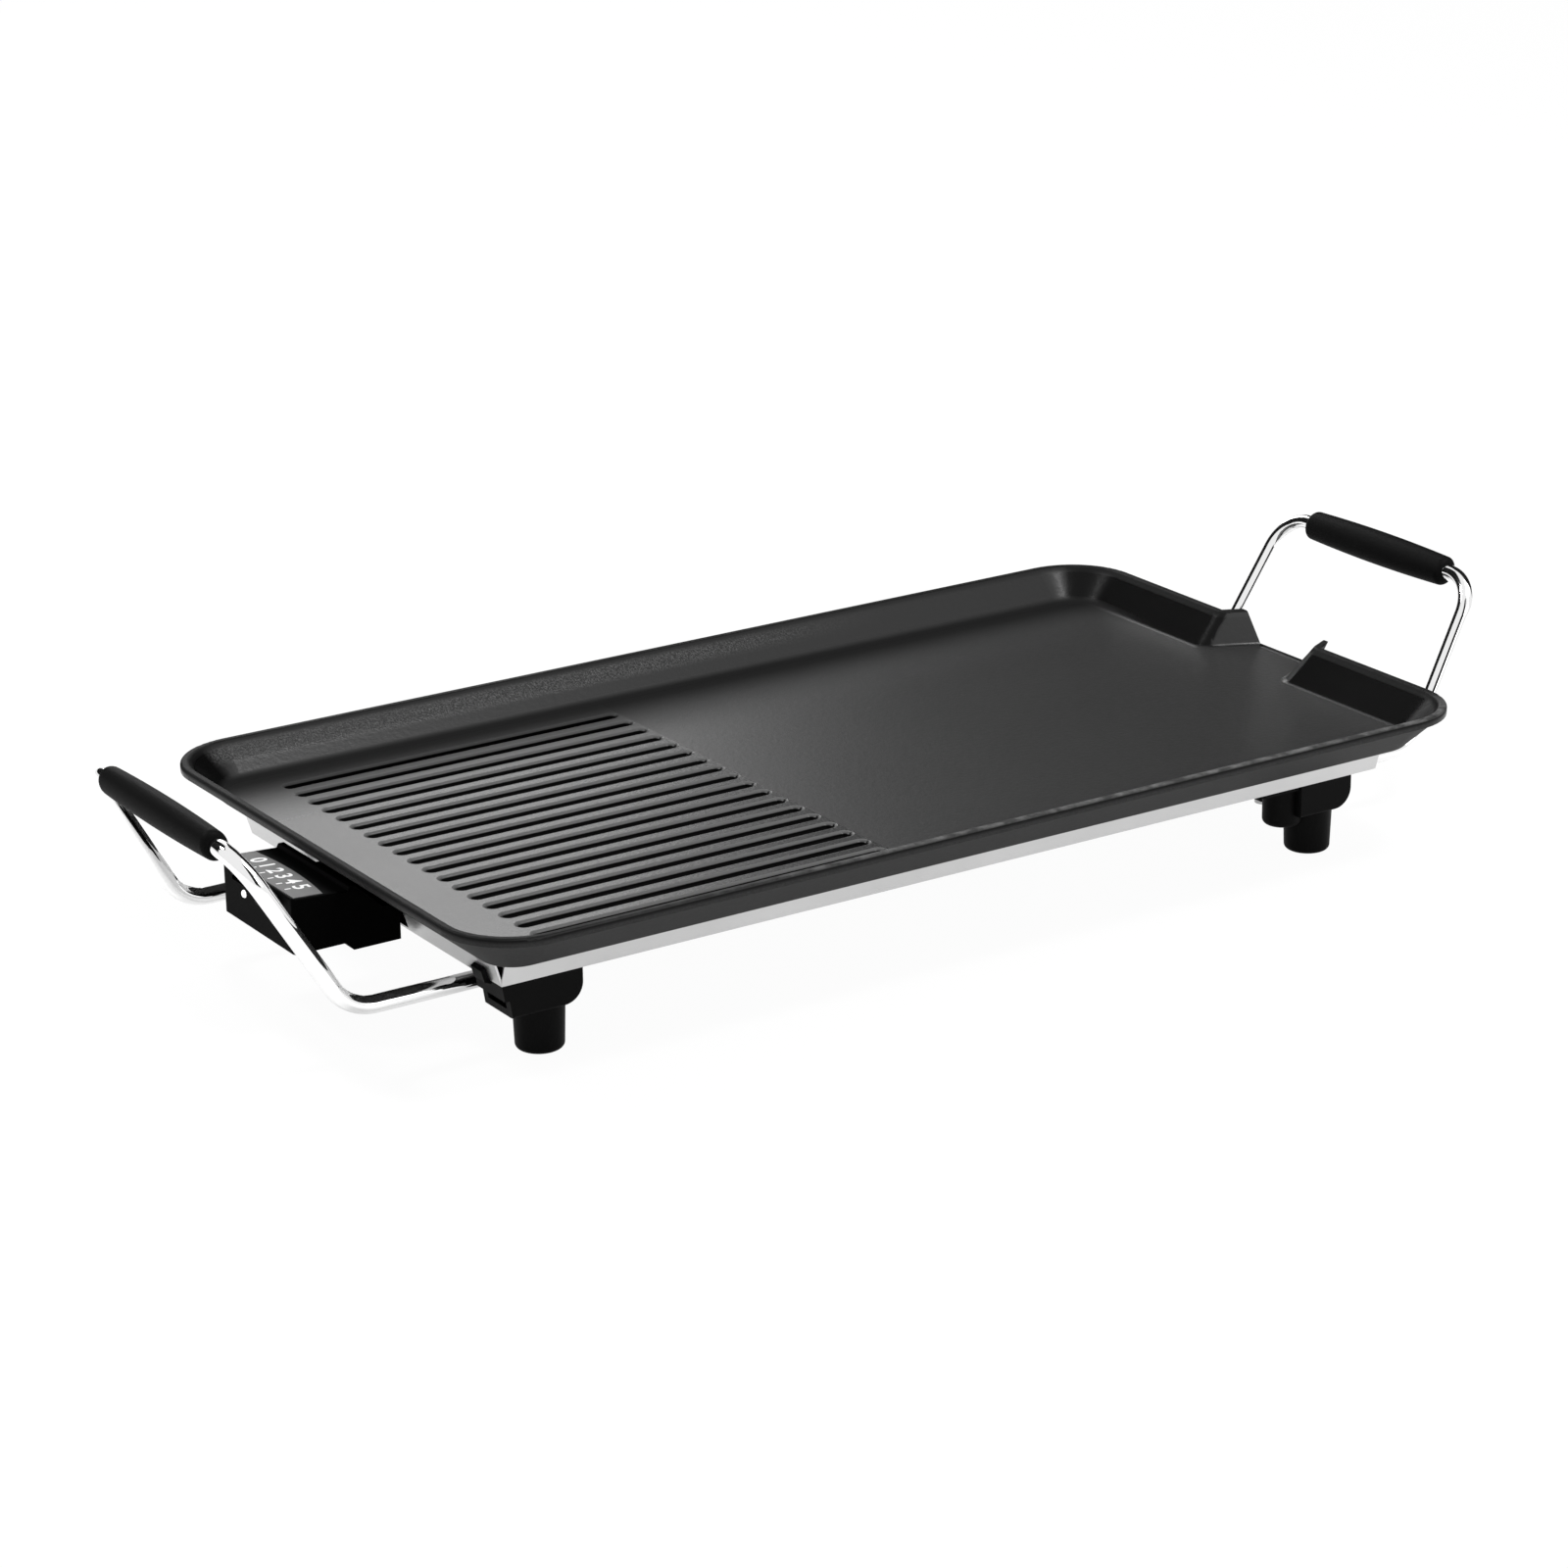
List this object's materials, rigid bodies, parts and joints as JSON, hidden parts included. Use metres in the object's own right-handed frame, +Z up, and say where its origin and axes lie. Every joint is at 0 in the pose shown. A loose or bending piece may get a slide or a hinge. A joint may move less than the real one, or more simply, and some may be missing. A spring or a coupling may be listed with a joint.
{
  "type": "electric griddle",
  "caption": "Electric griddle: rectangular cast pan, half ribbed and half flat, with a pour spout, on a metal tray with wire handles, feet and a plug-in control.",
  "frame": {"origin": "on the table under the middle of the plate, at the middle of the bounding box", "axes": "+X along the plate towards the pour spout, the control at -X; +Y to the far long side; +Z up"},
  "size_m": [0.6172, 0.273, 0.1002],
  "materials": {
    "plate_coating": "cast aluminium under a dark satin non-stick coating",
    "element_steel": "heat-toned steel tube",
    "zinc_steel": "plain plated steel",
    "ceramic": "unglazed white ceramic",
    "tray_sheet": "bright rolled sheet, semi-gloss",
    "foot_plastic": "black phenolic moulding, matte",
    "handle_chrome": "polished chrome plate",
    "grip_plastic": "black phenolic moulding, satin",
    "control_plastic": "black moulded plastic, satin",
    "label_grey": "matte grey printed panel",
    "lens_clear": "pale clear-coated lens",
    "lamp_glass": "small clear bulb",
    "contact_brass": "bare brass",
    "gland_rubber": "black rubber bush"
  },
  "bodies": {
    "griddle": {"cooking_plate": "plate_coating", "heating_element": "element_steel", "terminal_pins": "zinc_steel", "terminal_seals": "ceramic", "element_clamp_bars": "zinc_steel", "element_clamp_screws": "zinc_steel", "terminal_bracket": "zinc_steel", "terminal_bracket_screws": "zinc_steel", "reflector_tray": "tray_sheet", "foot_near_left": "foot_plastic", "foot_near_right": "foot_plastic", "foot_far_left": "foot_plastic", "foot_far_right": "foot_plastic", "foot_screws": "zinc_steel", "handle_left": "handle_chrome", "handle_right": "handle_chrome", "grip_left": "grip_plastic", "grip_right": "grip_plastic", "handle_clamp_near_left": "foot_plastic", "handle_clamp_near_right": "foot_plastic", "handle_clamp_far_left": "foot_plastic", "handle_clamp_far_right": "foot_plastic", "handle_clamp_screws": "zinc_steel", "handle_clamp_nuts": "zinc_steel"},
    "control": {"control_base": "control_plastic", "control_cover": "control_plastic", "control_label": "label_grey", "indicator_lens": "lens_clear", "indicator_lamp": "lamp_glass", "contact_block": "control_plastic", "contact_sleeves": "contact_brass", "contact_blades": "contact_brass", "thermostat_block": "ceramic", "bimetal_strip": "contact_brass", "probe_rod": "zinc_steel", "slider_rail": "zinc_steel", "cord_gland": "gland_rubber", "control_screws": "zinc_steel"},
    "slider": {"temperature_slider": "grip_plastic"}
  },
  "joints": [
    {"name": "control_pull", "type": "slide", "parent": "griddle", "child": "control", "axis": [-1, 0, 0], "range_m": [0, 0.075]},
    {"name": "temperature_slide", "type": "slide", "parent": "control", "child": "slider", "axis": [0, 1, 0], "range_m": [-0.0072, 0.0288]}
  ]
}
